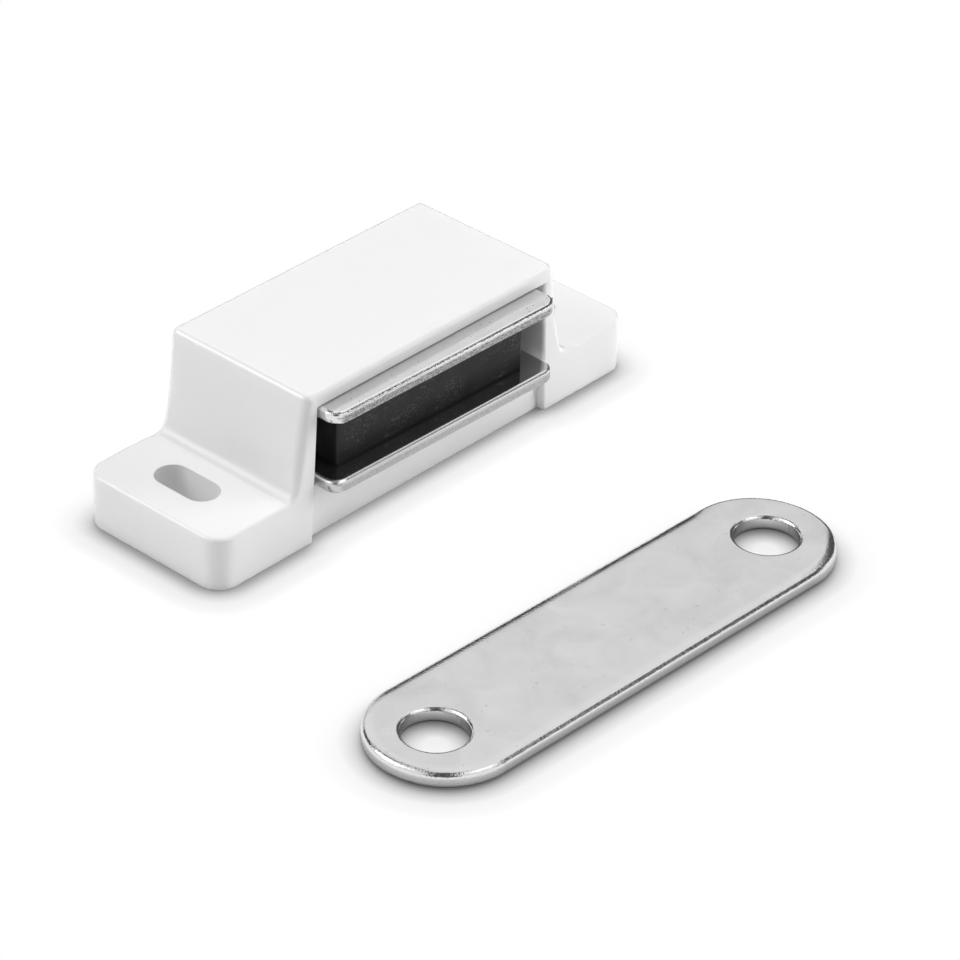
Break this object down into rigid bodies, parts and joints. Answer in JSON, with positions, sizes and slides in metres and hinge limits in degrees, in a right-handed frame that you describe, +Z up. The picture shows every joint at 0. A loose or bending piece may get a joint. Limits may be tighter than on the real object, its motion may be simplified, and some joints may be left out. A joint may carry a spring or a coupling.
{
  "type": "magnetic cupboard catch",
  "caption": "Magnetic cupboard catch: moulded housing with two slotted ears, magnet between two pole plates that float in its pocket, and a loose strike plate.",
  "frame": {"origin": "middle of the housing's base, on the face that is screwed down", "axes": "+X along the housing from the near ear to the far ear, +Y towards its back, +Z up; the pole plates stand out of the front, towards -Y"},
  "size_m": [0.0555, 0.0471, 0.0135],
  "materials": {
    "white_plastic": "smooth white moulding, satin gloss",
    "pole_steel": "bright nickel plate over a punched edge",
    "ferrite": "ground black ferrite, faintly scratched",
    "strike_steel": "tumbled nickel plate, satin with fine specks"
  },
  "bodies": {
    "catch_body": {"housing": "white_plastic", "strike_plate": "strike_steel"},
    "magnet_pack": {"lower_pole_plate": "pole_steel", "ferrite_magnet": "ferrite", "upper_pole_plate": "pole_steel"}
  },
  "joints": [
    {"name": "pack_swivel", "type": "hinge", "parent": "catch_body", "child": "magnet_pack", "pos_m": [-0.00025, -0.0026, 0.00845], "axis": [0, 0, 1], "range_deg": [-0.5, 3]}
  ]
}
